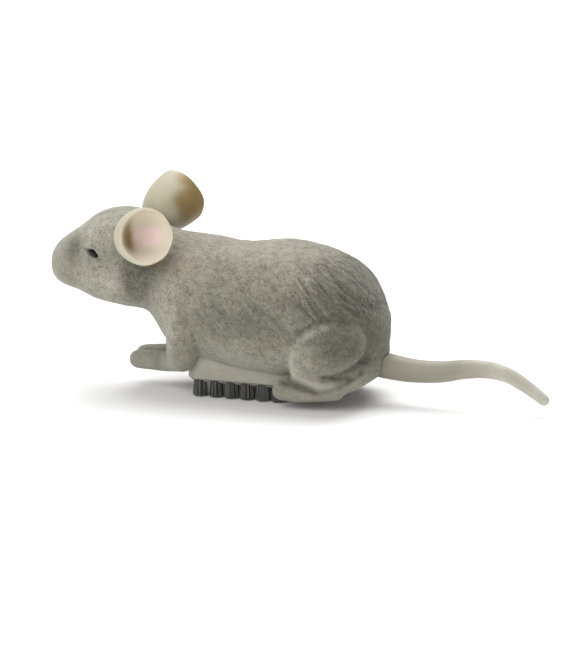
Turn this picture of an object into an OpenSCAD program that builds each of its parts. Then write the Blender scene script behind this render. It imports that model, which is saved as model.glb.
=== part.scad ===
// Clockwork mouse: a flocked hollow shell on a brush block, shaken along by a spring motor
// whose last arbor carries an off-centre weight. The nose points to -X, the tail to +X, and
// the tips of the bristles stand on z = 0. All sizes are in millimetres.

/* [Body shell] */
// Wall thickness of the flocked shell
wall = 1.6; // [1.4:0.1:1.8]
// Number of points around each section of the shell
section_points = 36; // [28:4:40]
// Squareness of the sections, 2 is a true ellipse
section_power = 2.15; // [2:0.05:2.3]

/* [Brush] */
// Number of tufts in each of the two rows
tufts_per_row = 6; // [4:1:6]
// Distance from one tuft to the next
tuft_pitch = 4.1; // [3.9:0.1:4.2]
// Distance of each row from the middle plane
tuft_row_y = 7.5; // [7.2:0.1:7.6]
// Length of bristle below the block
bristle_length = 3.8; // [3:0.1:4.2]
// Radius of a tuft where it leaves the block
tuft_root_r = 1.7; // [1.2:0.05:1.8]
// Radius of a tuft at its splayed tip
tuft_tip_r = 2.0; // [1.5:0.05:2.05]

/* [Gear train] */
// Gear module
gear_module = 0.5; // [0.5:0.5:0.5]
// Teeth on the great wheel
great_teeth = 42; // [42:1:42]
// Teeth on the second pinion
second_pinion_teeth = 12; // [12:1:12]
// Teeth on the second wheel
second_teeth = 36; // [36:1:36]
// Teeth on the third pinion
third_pinion_teeth = 10; // [10:1:10]
// Teeth on the third wheel
third_teeth = 30; // [30:1:30]
// Teeth on the shaker pinion
shaker_pinion_teeth = 10; // [10:1:10]
// Radius of the off-centre weight
weight_r = 5.4; // [4.5:0.1:5.5]

/* [Winding] */
// Radius of the winding knob
knob_r = 5.2; // [4.5:0.1:5.6]
// Number of grooves round the knob
knob_grooves = 14; // [10:1:18]
// Turns of the mainspring
spring_turns = 6; // [5:1:7]

/* [Ears and tail] */
// Radius of an ear at its rim
ear_rim_r = 7.3; // [6.5:0.1:7.6]
// Depth of an ear from its foot to its rim
ear_depth = 11.4; // [10:0.1:12]
// Wall thickness of an ear at its rim
ear_wall = 0.9; // [0.8:0.1:1.2]
// Height of the bottom of the ear's cup above its foot
ear_cup_floor = 4.2; // [3:0.1:5]

/* [Hidden] */
$fn = 32;

// ---- sections of the shell: [x, z of the back, z of the belly, half width] ----
STATIONS = [
    [-65.0, 30.1, 29.3, 0.3], [-64.4, 32.8, 26.6, 2.8], [-62.6, 35.4, 24.6, 5.0],
    [-60.0, 37.5, 23.6, 6.2], [-57.0, 39.6, 22.8, 7.2], [-53.8, 42.4, 21.5, 8.6],
    [-50.5, 44.1, 20.6, 9.9], [-47.0, 44.9, 20.2, 10.8], [-43.3, 44.9, 19.8, 11.3],
    [-40.0, 43.8, 19.6, 11.2], [-37.4, 42.1, 18.4, 11.1], [-35.2, 40.9, 15.4, 11.6],
    [-33.0, 40.1, 12.0, 12.5], [-30.0, 39.6, 9.6, 13.7], [-26.5, 39.4, 8.3, 14.6],
    [-22.0, 39.1, 7.2, 15.4], [-18.0, 38.4, 6.5, 16.3], [-14.0, 38.2, 6.0, 17.1],
    [-9.7, 38.8, 5.6, 17.7], [-5.0, 39.5, 5.3, 18.0], [0.0, 39.4, 5.1, 18.0],
    [5.5, 38.5, 5.1, 17.6], [10.7, 36.9, 5.6, 16.5], [14.5, 35.1, 6.4, 14.8],
    [17.3, 32.9, 7.6, 12.8], [19.5, 30.2, 9.0, 10.4], [21.3, 27.2, 10.8, 7.6],
    [22.7, 23.6, 13.2, 4.6], [23.4, 20.2, 16.0, 1.6]];

function blend4(a, b, c, d, t) =
    0.5 * (2 * b + (c - a) * t + (2 * a - 5 * b + 4 * c - d) * t * t
        + (3 * b - a - 3 * c + d) * t * t * t);

function station(i) = STATIONS[max(0, min(len(STATIONS) - 1, i))];

// Twice as many sections as stations, on one smooth curve through them
function smooth_sections(first, last) =
    [for (i = [first:last]) for (t = i < last ? [0, 0.5] : [0])
        blend4(station(i - 1), station(i), station(i + 1), station(i + 2), t)];

function ring(section, inset, count) =
    let (middle = (section[1] + section[2]) / 2,
        high = max(0.2, (section[1] - section[2]) / 2 - inset),
        wide = max(0.2, section[3] - inset))
    [for (k = [0:count - 1]) let (a = 360 * k / count, c = cos(a), s = sin(a))
        [section[0],
            wide * sign(c) * pow(abs(c), 2 / section_power),
            middle + high * sign(s) * pow(abs(s), 2 / section_power)]];

// Faces of a tube of rings, closed at both ends
function tube_faces(rows, count) = concat(
    [[for (k = [0:count - 1]) k]],
    [[for (k = [count - 1:-1:0]) (rows - 1) * count + k]],
    [for (r = [0:rows - 2]) for (k = [0:count - 1])
        let (n = (k + 1) % count)
        for (face = [[r * count + k, (r + 1) * count + n, r * count + n],
            [r * count + k, (r + 1) * count + k, (r + 1) * count + n]]) face]);

module skin(sections, inset, count) {
    rows = len(sections);
    rings = [for (s = sections) ring(s, inset, count)];
    polyhedron(
        points = [for (r = rings) for (p = r) p],
        faces = tube_faces(rows, count));
}

// ---- places shared by more than one piece ----
HEAD_CAVITY_FIRST = 3;
HEAD_CAVITY_LAST = len(STATIONS) - 4;
head_wall = wall + 0.4;

block_front = -26.6;
block_back = 2.2;
block_half_y = 9.6;
block_floor_top = 8.6;
block_top = 12.0;
block_wall = 0.9;
tuft_first_x = -23.5;
tuft_hole_depth = 3.0;

ear_foot = [-41.3, 8.4, 39.8];
// Direction of each ear as [angle from +X towards its own side, angle above level]
ear_left_turn = [50.5, 14];
ear_right_turn = [61, 26];
stem_r = 1.9;
eye_place = [-51.1, 8.75, 34.8];
eye_r = 1.25;
tail_start = [22.4, 9.6];
tail_root_r = 3.3;
tail_plug_r = 2.2;

plate_inner_y = 7.0;
plate_thick = 0.8;
plate_outer_y = plate_inner_y + plate_thick;
arbor_play = 0.05;

function mesh_distance(a, b) = gear_module * (a + b) / 2;
function step_from(p, distance, angle) = [p[0] + distance * cos(angle), p[1] + distance * sin(angle)];

// Arbor centres in the plane of the wheels, as [x, z]
great_at = [2.0, 22.5];
second_angle = 190;
third_angle = 152;
shaker_angle = 262;
second_at = step_from(great_at, mesh_distance(great_teeth, second_pinion_teeth), second_angle);
third_at = step_from(second_at, mesh_distance(second_teeth, third_pinion_teeth), third_angle);
shaker_at = step_from(third_at, mesh_distance(third_teeth, shaker_pinion_teeth), shaker_angle);

winding_arbor_r = 1.5;
arbor_r = 0.6;
PILLARS = [[13.3, 27.8], [13.3, 17.2], [-30.0, 30.4], [-29.0, 19.0]];
pillar_r = 1.25;
pillar_end_r = 0.8;
SCREWS_X = [-14.5, -4.0];
screw_z = 10.7;
screw_r = 0.6;
spring_post_at = step_from(great_at, 10.7, 62);
spring_post_r = 0.7;
knob_inner_y = 18.75;
knob_outer_y = 21.5;

// ---- helpers ----
// Turns what is built along +Z to lie along +Y, standing at [x, z] and starting at y
module along_y(at, y) translate([at[0], y, at[1]]) rotate([-90, 0, 0]) children();

module ball(at, r) translate(at) sphere(r, $fn = 20);

module limb(points) {
    for (i = [0:len(points) - 2]) hull() {
        ball([points[i][0], points[i][1], points[i][2]], points[i][3]);
        ball([points[i + 1][0], points[i + 1][1], points[i + 1][2]], points[i + 1][3]);
    }
}

module both_sides() {
    children();
    mirror([0, 1, 0]) children();
}

// A tooth is a trapezium with a narrow tip and wide root, close to an involute at this size
function gear_points(teeth, phase, thin) =
    let (pitch_r = gear_module * teeth / 2,
        tip_r = pitch_r + 0.85 * gear_module,
        root_r = pitch_r - 1.2 * gear_module,
        step = 360 / teeth)
    [for (i = [0:teeth - 1]) let (a = i * step + phase)
        for (p = [[root_r, -0.33], [pitch_r, -0.25 + thin], [tip_r, -0.10],
            [tip_r, 0.10], [pitch_r, 0.25 - thin], [root_r, 0.33]])
            [p[0] * cos(a + p[1] * step), p[0] * sin(a + p[1] * step)]];

module gear(teeth, phase, thick, bore_r, thin = 0.04) {
    difference() {
        linear_extrude(thick) polygon(gear_points(teeth, phase, thin));
        translate([0, 0, -1]) cylinder(r = bore_r, h = thick + 2);
    }
}

// Angle, seen along +Y with x to the right and the gear's own y pointing down, of a place
// at angle a in the [x, z] plane
function own(a) = -a;

// Phases that leave every pair of wheels in mesh at rest: a tooth of one faces a gap of the other
great_phase = own(second_angle);
second_pinion_phase = own(second_angle + 180) + 180 / second_pinion_teeth;
second_wheel_phase = own(third_angle);
third_pinion_phase = own(third_angle + 180) + 180 / third_pinion_teeth;
third_wheel_phase = own(shaker_angle);
shaker_pinion_phase = own(shaker_angle + 180) + 180 / shaker_pinion_teeth;

// ---- outer body ----
module outer_form() {
    skin(smooth_sections(0, len(STATIONS) - 1), 0, section_points);
    both_sides() {
        haunch();
        limb([[-0.4, 13.0, 4.7, 2.6], [4.5, 13.2, 4.1, 2.1], [13.2, 12.4, 5.8, 2.8]]);
        limb([[2.6, 12.0, 6.9, 2.1], [12.0, 11.6, 6.6, 2.9]]);
        limb([[5.2, 13.4, 11.2, 3.6], [13.2, 12.2, 7.4, 3.5], [16.9, 9.6, 9.6, 3.7]]);
        limb([[-24.5, 8.4, 26.0, 5.6], [-26.6, 10.6, 16.0, 4.9], [-27.6, 9.6, 10.2, 3.9]]);
        limb([[-27.6, 9.4, 9.6, 3.3], [-33.6, 4.0, 7.0, 2.6], [-41.5, 2.7, 6.6, 2.4]]);
    }
    hull() {
        ball([16.7, 0, 19.5], 6.4);
        ball([17.4, 0, 14.0], 6.2);
        ball([19.9, 0, 10.7], 4.0);
    }
    both_sides() hull() {
        ball([12.5, 11.4, 6.6], 3.1);
        ball([16.6, 9.6, 9.0], 3.9);
        ball([19.9, 0, 10.7], 4.0);
    }
}

module haunch() {
    translate([10.1, 10.2, 15.3]) rotate([0, -31, 4])
        scale([11.4, 8.5, 7.9]) sphere(1, $fn = 28);
}

module belly_opening(grow) {
    translate([block_front - grow, -block_half_y - grow, -1])
        linear_extrude(14) offset(r = 2.4, $fn = 24) offset(delta = -2.4)
            square([block_back - block_front + 2 * grow, 2 * (block_half_y + grow)]);
}

module body_shell() {
    color("#8b8877") difference() {
        outer_form();
        skin(smooth_sections(HEAD_CAVITY_FIRST, HEAD_CAVITY_LAST), head_wall, 28);
        belly_opening(0.12);
        mirror([0, 1, 0]) ear_place(ear_left_turn) ear_envelope(0.06);
        ear_place(ear_right_turn) ear_envelope(0.06);
        both_sides() eye_place() eye_envelope(0.06);
        tail_envelope(0.06);
        along_y(great_at, 12) cylinder(r = 2.6, h = 12);
    }
}

// ---- ears ----
module ear_place(turn) translate(ear_foot) rotate([0, 90 - turn[1], turn[0]]) children();

// Radius of the ear's outside at height t, as a share of its depth
function ear_r(t) = 3.0 + (ear_rim_r - 3.0) * pow(sin(90 * min(1, 1.08 * t)), 0.55);

ear_steps = 12;

module ear_envelope(grow) {
    rotate_extrude($fn = 28) polygon(concat([[0, -5.4]],
        [[stem_r + 0.7 + grow, -5.4], [stem_r + 0.7 + grow, -2.4 + grow], [stem_r + grow, -2.4 + grow],
            [stem_r + grow, -grow]],
        [for (i = [0:ear_steps]) [ear_r(i / ear_steps) + grow, ear_depth * i / ear_steps]],
        [[0, ear_depth]]));
}

module ear() {
    rotate_extrude($fn = 48) polygon(concat(
        [[0, -3.9], [stem_r + 0.1, -3.9], [stem_r + 0.6, -3.2], [stem_r + 0.6, -2.6], [stem_r, -2.6],
            [stem_r, 0]],
        [for (i = [0:ear_steps - 1]) [ear_r(i / ear_steps), ear_depth * i / ear_steps]],
        [for (a = [15:30:165]) [ear_rim_r - ear_wall / 2 * (1 - cos(a)),
            ear_depth - ear_wall / 2 * (1 - sin(a))]],
        [for (t = [0.9:-0.1:0.1]) [(ear_rim_r - ear_wall) * t,
            ear_cup_floor + (ear_depth - 0.5 - ear_cup_floor) * pow(t, 1.8)]],
        [[0, ear_cup_floor]]));
}

module ear_left() color("#d6cdb0") mirror([0, 1, 0]) ear_place(ear_left_turn) ear();

module ear_right() color("#d6cdb0") ear_place(ear_right_turn) ear();

// ---- eyes ----
module eye_place() translate(eye_place) rotate([-78, 0, 22]) children();

module eye_envelope(grow) {
    translate([0, 0, -0.9]) cylinder(r = 0.75 + grow, h = 4, center = true, $fn = 16);
    sphere(eye_r + grow, $fn = 16);
}

module eye() {
    sphere(eye_r);
    translate([0, 0, -2.2]) cylinder(r = 0.75, h = 2.2);
}

module eye_left() color("#16140f") mirror([0, 1, 0]) eye_place() eye();

module eye_right() color("#16140f") eye_place() eye();

// ---- tail: its centre line and radius as [x, z, r] ----
TAIL = [[20.6, 9.9, 3.3], [24.5, 9.3, 3.2], [30.0, 8.8, 2.95], [37.0, 9.1, 2.7], [43.5, 10.3, 2.4],
    [49.5, 10.6, 2.15], [54.8, 9.5, 1.9], [59.6, 6.9, 1.65], [63.5, 4.2, 1.45]];
tail_tip_x = 65.0;

function tail_at(i) = TAIL[max(0, min(len(TAIL) - 1, i))];

module tail_body(first_ring) {
    count = 16;
    path = [for (i = [0:len(TAIL) - 2]) for (t = [0, 0.34, 0.67])
        blend4(tail_at(i - 1), tail_at(i), tail_at(i + 1), tail_at(i + 2), t)];
    full = concat([for (i = [first_ring:len(path) - 1]) path[i]], [TAIL[len(TAIL) - 1]]);
    rows = len(full);
    rings = [for (i = [0:rows - 1])
        let (a = full[max(0, i - 1)], b = full[min(rows - 1, i + 1)],
            d = [b[0] - a[0], b[1] - a[1]] / norm([b[0] - a[0], b[1] - a[1]]))
        [for (k = [0:count - 1]) let (c = full[i][2] * cos(360 * k / count), s = full[i][2] * sin(360 * k / count))
            [full[i][0] - d[1] * s, c, full[i][1] + d[0] * s]]];
    polyhedron(
        points = [for (r = rings) for (p = r) p],
        faces = tube_faces(rows, count));
}

module tail_place() translate([20.6, 0, 9.9]) rotate([0, -82, 0]) children();

module tail_envelope(grow) {
    hull() {
        ball([20.9, 0, 9.9], 3.3 + grow);
        ball([25.0, 0, 9.25], 3.25 + grow);
    }
    tail_place() cylinder(r = tail_plug_r + grow, h = 9);
}

module tail() {
    color("#a7a590") union() {
        tail_body(0);
        ball([63.5, 0, 4.2], 1.46);
        tail_place() {
            cylinder(r = tail_plug_r, h = 4.6);
            translate([0, 0, 3.2]) cylinder(r = tail_plug_r - 0.2, h = 2.6);
        }
    }
}

// ---- brush block and tufts ----
// A rectangle with round corners, reaching grow beyond the block's own outline
module rounded_outline(grow, r) {
    long = block_back - block_front + 2 * grow;
    wide = 2 * (block_half_y + grow);
    translate([block_front - grow, -block_half_y - grow]) {
        translate([r, 0]) square([long - 2 * r, wide]);
        translate([0, r]) square([long, wide - 2 * r]);
        for (x = [r, long - r]) for (y = [r, wide - r]) translate([x, y]) circle(r);
    }
}

module base_block() {
    color("#9b9a8f") difference() {
        union() {
            translate([0, 0, bristle_length + 1.2]) linear_extrude(block_top - bristle_length - 1.2)
                rounded_outline(0, 2.4);
            hull() {
                translate([0, 0, bristle_length]) linear_extrude(0.1) rounded_outline(-1.2, 1.2);
                translate([0, 0, bristle_length + 1.1]) linear_extrude(0.1) rounded_outline(0, 2.4);
            }
            translate([-9.0, -block_half_y - 1, 11.0]) cube([8, 2 * block_half_y + 2, 1.0]);
        }
        difference() {
            translate([0, 0, block_floor_top]) linear_extrude(8) rounded_outline(-block_wall, 1.5);
            motor_posts();
        }
        for (x = [block_front - 1, block_back - 1.4])
            translate([x, -plate_outer_y - 0.2, block_top - 0.9]) cube([2.4, 2 * plate_outer_y + 0.4, 2]);
        for (side = [-1, 1]) for (i = [0:tufts_per_row - 1])
            translate([tuft_first_x + i * tuft_pitch, side * tuft_row_y, bristle_length - 0.5])
                cylinder(r = tuft_root_r + 0.02, h = tuft_hole_depth + 0.5);
        for (x = SCREWS_X) along_y([x, screw_z], -plate_inner_y - 0.5)
            cylinder(r = screw_r + 0.05, h = 2 * plate_inner_y + 1);
    }
}

// The two pairs of posts that the motor is screwed to
module motor_posts() {
    for (x = SCREWS_X) for (y = [-plate_inner_y + 0.05, plate_inner_y - 2.95])
        translate([x - 1.6, y, block_floor_top - 0.5]) cube([3.2, 2.9, 3.9]);
}

module tuft() {
    translate([0, 0, bristle_length]) cylinder(r = tuft_root_r, h = tuft_hole_depth - 0.7);
    cylinder(r1 = tuft_tip_r, r2 = tuft_root_r, h = bristle_length);
}

module tuft_row(side) {
    color("#2e2e2d") for (i = [0:tufts_per_row - 1])
        translate([tuft_first_x + i * tuft_pitch, side * tuft_row_y, 0]) tuft();
}

module tuft_anchors() {
    color("#b08d3c") for (side = [-1, 1]) for (i = [0:tufts_per_row - 1])
        translate([tuft_first_x + i * tuft_pitch, side * tuft_row_y, bristle_length + tuft_hole_depth - 0.4])
            cube([2.2, 0.35, 0.6], center = true);
}

// ---- motor frame ----
module plate_outline() {
    hull() {
        for (p = PILLARS) translate(p) circle(2.1);
        translate(great_at) circle(11.3, $fn = 48);
    }
    for (x = SCREWS_X) translate([x - 2.6, 8.8]) square([5.2, 6]);
}

module motor_plate(side) {
    y = side < 0 ? -plate_outer_y : plate_inner_y;
    color("#b9b9b4") difference() {
        translate([0, y + plate_thick, 0]) rotate([90, 0, 0]) linear_extrude(plate_thick) plate_outline();
        along_y(great_at, y - 1) cylinder(r = winding_arbor_r + arbor_play, h = 3);
        for (p = [second_at, third_at, shaker_at])
            along_y(p, y - 1) cylinder(r = arbor_r + arbor_play, h = 3);
        for (p = PILLARS) along_y(p, y - 1) cylinder(r = pillar_end_r + 0.02, h = 3);
        for (x = SCREWS_X) along_y([x, screw_z], y - 1) cylinder(r = screw_r + 0.05, h = 3);
        if (side < 0) along_y(spring_post_at, y - 1) cylinder(r = 0.45, h = 3);
    }
}

module motor_pillars() {
    color("#c2a35a") for (p = PILLARS) {
        along_y(p, -plate_inner_y) cylinder(r = pillar_r, h = 2 * plate_inner_y);
        along_y(p, -plate_outer_y - 1.1) cylinder(r = pillar_end_r, h = 2 * plate_outer_y + 2.2);
    }
}

module pillar_nuts() {
    color("#c9c9c6") for (p = PILLARS) for (y = [-plate_outer_y - 1.0, plate_outer_y])
        along_y(p, y) difference() {
            cylinder(r = 1.7, h = 1.0, $fn = 6);
            translate([0, 0, -1]) cylinder(r = pillar_end_r + 0.02, h = 3);
        }
}

module motor_screws() {
    color("#c9c9c6") for (x = SCREWS_X) for (side = [-1, 1])
        translate([x, side * plate_outer_y, screw_z]) rotate([-90 * side, 0, 0]) {
            translate([0, 0, -3.4]) cylinder(r = screw_r, h = 3.5);
            difference() {
                cylinder(r = 1.15, h = 0.8);
                translate([-1.3, -0.15, 0.45]) cube([2.6, 0.3, 1]);
            }
        }
}

module spring_post() {
    color("#c2a35a") {
        along_y(spring_post_at, -plate_inner_y) cylinder(r = spring_post_r, h = 5.2);
        along_y(spring_post_at, -plate_outer_y) cylinder(r = 0.42, h = plate_thick + 0.1);
    }
}

// ---- mainspring: a strip wound from the arbor out to its post ----
spring_y = -6.4;
spring_width = 4.4;
spring_thick = 0.32;
spring_first_r = 2.0;
spring_last_r = 9.3;

function spring_r(s) = spring_first_r + (spring_last_r - spring_first_r) * s;

module mainspring() {
    steps = spring_turns * 24;
    end_angle = own(62);
    line = concat(
        [for (i = [0:steps]) let (s = i / steps, a = end_angle - 360 * spring_turns * (1 - s) - 12)
            [spring_r(s) * cos(a), spring_r(s) * sin(a), a]],
        [for (d = [0, 10]) [9.65 * cos(end_angle - 4 + d), 9.65 * sin(end_angle - 4 + d), end_angle + d]]);
    outer = [for (p = line) [p[0] + spring_thick / 2 * cos(p[2]), p[1] + spring_thick / 2 * sin(p[2])]];
    inner = [for (i = [len(line) - 1:-1:0]) let (p = line[i])
        [p[0] - spring_thick / 2 * cos(p[2]), p[1] - spring_thick / 2 * sin(p[2])]];
    color("#5f7390") along_y(great_at, spring_y) linear_extrude(spring_width) polygon(concat(outer, inner));
}

// ---- winding arbor, knob and ratchet ----
module winding_arbor() {
    color("#b7b7b4") {
        along_y(great_at, -plate_outer_y - 0.6) cylinder(r = winding_arbor_r, h = plate_outer_y + 0.6 + 15.0);
        along_y(great_at, 15.0) cylinder(r = 1.2, h = 5.6);
        along_y(great_at, spring_y + 1.2) translate([1.2, -0.3, 0]) cube([0.55, 0.6, 2.0]);
    }
}

module winding_knob() {
    color("#ecebe6") difference() {
        union() {
            along_y(great_at, knob_inner_y) cylinder(r = knob_r, h = knob_outer_y - knob_inner_y - 0.6);
            along_y(great_at, knob_outer_y - 0.6) cylinder(r1 = knob_r, r2 = knob_r - 0.6, h = 0.6);
            along_y(great_at, 15.6) cylinder(r = 2.3, h = knob_inner_y - 15.5);
        }
        along_y(great_at, 15.0) cylinder(r = 1.22, h = 5.8);
        for (i = [0:knob_grooves - 1]) along_y(great_at, knob_inner_y - 1)
            rotate(i * 360 / knob_grooves) translate([knob_r + 0.15, 0, 0]) cylinder(r = 0.55, h = 6, $fn = 16);
    }
}

RATCHET_TEETH = 12;
ratchet_tip_r = 4.2;
ratchet_root_r = 3.3;

function ratchet_points() =
    [for (i = [0:RATCHET_TEETH - 1]) let (a = i * 360 / RATCHET_TEETH)
        for (p = [[ratchet_root_r, 0], [ratchet_tip_r, 0.5]])
            [p[0] * cos(a + p[1]), p[0] * sin(a + p[1])]];

module ratchet_wheel() {
    color("#c2a35a") along_y(great_at, 0.6) difference() {
        linear_extrude(1.0) polygon(ratchet_points());
        translate([0, 0, -1]) cylinder(r = winding_arbor_r + 0.01, h = 3);
    }
}

module great_wheel() {
    color("#e8e4d6") along_y(great_at, 2.0) {
        difference() {
            gear(great_teeth, great_phase, 1.4, winding_arbor_r + arbor_play);
            for (i = [0:4]) rotate(i * 72 + 36) translate([7.3, 0, -1]) cylinder(r = 1.5, h = 4);
            click_pivot_place() translate([0, 0, -3]) cylinder(r = 0.52, h = 6);
        }
        difference() {
            translate([0, 0, 1.4]) cylinder(r = 2.6, h = 1.4);
            cylinder(r = winding_arbor_r + arbor_play, h = 4);
        }
        translate([-1.2, 6.3, -1.25]) cube([1.2, 0.9, 1.3]);
    }
}

// ---- click: a pawl on the great wheel that drops behind a ratchet tooth ----
click_pivot = [6.6, 1.16];

module click_pivot_place() translate(click_pivot) children();

module click_screw() {
    color("#b7b7b4") along_y(great_at, 2.0) click_pivot_place() {
        translate([0, 0, -1.75]) cylinder(r = 0.5, h = 3.15);
        translate([0, 0, -1.95]) cylinder(r = 0.95, h = 0.4);
    }
}

module click() {
    color("#b7b7b4") along_y(great_at, 0.6) difference() {
        union() {
            click_pivot_place() cylinder(r = 1.1, h = 1.0);
            linear_extrude(1.0)
                polygon([[1.76, 2.93], [2.36, 3.77], [7.10, 2.05], [6.18, 0.48], [3.05, 2.95]]);
        }
        click_pivot_place() translate([0, 0, -1]) cylinder(r = 0.55, h = 3);
    }
}

module click_spring() {
    color("#5f7390") along_y(great_at, 0.75) linear_extrude(0.7)
        polygon([[0, 6.9], [2.7, 5.75], [5.15, 3.15], [4.95, 3.0], [2.55, 5.5], [0, 6.65]]);
}

// ---- wheels and pinions ----
module arbor(at, low = -plate_outer_y - 0.3, high = plate_outer_y + 0.3) {
    color("#b7b7b4") along_y(at, low) cylinder(r = arbor_r, h = high - low);
}

module second_pinion() {
    color("#e8e4d6") along_y(second_at, -0.2) gear(second_pinion_teeth, second_pinion_phase, 4.4, arbor_r + 0.01);
}

module second_wheel() {
    color("#e8e4d6") along_y(second_at, -1.2) difference() {
        gear(second_teeth, second_wheel_phase, 1.0, arbor_r + 0.01);
        for (i = [0:3]) rotate(i * 90 + 45) translate([5.2, 0, -1]) cylinder(r = 1.7, h = 3);
    }
}

module third_pinion() {
    color("#e8e4d6") along_y(third_at, -3.4) gear(third_pinion_teeth, third_pinion_phase, 4.0, arbor_r + 0.01);
}

module third_wheel() {
    color("#e8e4d6") along_y(third_at, -4.4) difference() {
        gear(third_teeth, third_wheel_phase, 1.0, arbor_r + 0.01);
        for (i = [0:3]) rotate(i * 90) translate([4.3, 0, -1]) cylinder(r = 1.3, h = 3);
    }
}

module shaker_pinion() {
    color("#e8e4d6") along_y(shaker_at, -5.2) gear(shaker_pinion_teeth, shaker_pinion_phase, 2.8, arbor_r + 0.01);
}

// Half a disc, hanging below its arbor at rest
module shaker_weight() {
    color("#8f8f8c") along_y(shaker_at, 1.2) difference() {
        union() {
            intersection() {
                cylinder(r = weight_r, h = 4.2);
                translate([-weight_r, 0.6, 0]) cube([2 * weight_r, weight_r, 4.2]);
            }
            cylinder(r = 1.7, h = 4.2);
        }
        translate([0, 0, -1]) cylinder(r = arbor_r + 0.01, h = 7);
    }
}

body_shell();
ear_left();
ear_right();
eye_left();
eye_right();
tail();
base_block();
tuft_row(-1);  // tuft_row_left
tuft_row(1);  // tuft_row_right
tuft_anchors();
motor_plate(-1);  // motor_plate_left
motor_plate(1);  // motor_plate_right
motor_pillars();
pillar_nuts();
motor_screws();
spring_post();
mainspring();
winding_knob();
winding_arbor();
ratchet_wheel();
great_wheel();
click_screw();
click();
click_spring();
arbor(second_at);  // second_arbor
second_pinion();
second_wheel();
arbor(third_at);  // third_arbor
third_pinion();
third_wheel();
arbor(shaker_at);  // shaker_arbor
shaker_pinion();
shaker_weight();
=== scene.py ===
"""Clockwork mouse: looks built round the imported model.

Every piece is made by its own operator, in metres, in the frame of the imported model.
"""

import math
import random

import bpy
import numpy as np
from mathutils import Matrix, Vector, noise


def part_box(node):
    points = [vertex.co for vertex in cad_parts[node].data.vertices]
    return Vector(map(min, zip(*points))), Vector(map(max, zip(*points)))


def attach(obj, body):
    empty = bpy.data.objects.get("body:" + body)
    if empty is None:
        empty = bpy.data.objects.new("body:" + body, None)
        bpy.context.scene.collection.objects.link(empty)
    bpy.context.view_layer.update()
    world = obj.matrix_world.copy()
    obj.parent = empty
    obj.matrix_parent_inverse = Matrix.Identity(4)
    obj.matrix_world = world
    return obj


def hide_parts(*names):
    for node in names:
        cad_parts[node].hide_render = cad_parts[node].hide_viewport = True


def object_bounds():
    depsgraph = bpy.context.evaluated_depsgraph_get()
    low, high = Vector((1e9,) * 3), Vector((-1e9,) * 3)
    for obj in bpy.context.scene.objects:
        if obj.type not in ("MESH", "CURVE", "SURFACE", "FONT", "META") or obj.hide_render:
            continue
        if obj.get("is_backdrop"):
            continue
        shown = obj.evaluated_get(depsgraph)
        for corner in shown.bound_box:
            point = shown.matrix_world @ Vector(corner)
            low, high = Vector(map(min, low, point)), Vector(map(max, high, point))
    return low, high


bl_info = {
    "name": "Clockwork Mouse",
    "version": (1, 0, 0),
    "blender": (4, 5, 0),
    "location": "View3D > Sidebar > Mouse",
    "description": "Builds the flocked coat, rubber ears and tail, "
                   "bristles and finishes of a clockwork mouse",
    "category": "Object",
}

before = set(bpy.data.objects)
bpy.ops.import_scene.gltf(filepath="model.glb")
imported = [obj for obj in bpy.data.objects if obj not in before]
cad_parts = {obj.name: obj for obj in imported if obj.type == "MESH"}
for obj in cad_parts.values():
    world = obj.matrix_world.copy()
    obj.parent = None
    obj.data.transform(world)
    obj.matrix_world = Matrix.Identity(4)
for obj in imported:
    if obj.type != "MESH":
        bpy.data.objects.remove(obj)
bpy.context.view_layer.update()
MM = 0.001
FIXED_BODY = "shell_and_frame"


# ---- settings ----
def length(name, description, default, low, high, digits=4):
    return bpy.props.FloatProperty(name=name, description=description, default=default, min=low, max=high,
                                   precision=digits, subtype="DISTANCE", unit="LENGTH")


def colour(name, description, red, green, blue):
    return bpy.props.FloatVectorProperty(name=name, description=description, default=(red, green, blue, 1.0),
                                         size=4, min=0.0, max=1.0, subtype="COLOR")


class MouseSizes(bpy.types.PropertyGroup):
    coat_voxel: length("Coat grid", "Size of the grid that the coat is rebuilt on",
        0.00050, 0.0003, 0.002, 5)
    stroke_depth: length("Fur strokes", "Depth of the strokes moulded into the back and rump",
        0.00022, 0.0, 0.001, 5)
    ear_radius: length("Ear radius", "Radius of an ear at its rim",
        0.0073, 0.005, 0.009)
    ear_depth: length("Ear depth", "Distance from an ear's foot to its rim",
        0.0114, 0.008, 0.014)
    ear_wall: length("Ear wall", "Thickness of the rubber at the rim",
        0.0009, 0.0005, 0.002)
    filament_radius: length("Filament radius", "Radius of one bristle",
        0.000105, 0.00005, 0.0003, 5)
    filaments: bpy.props.IntProperty(
        name="Filaments", description="Bristles in each tuft", default=120, min=20, max=300)


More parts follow.
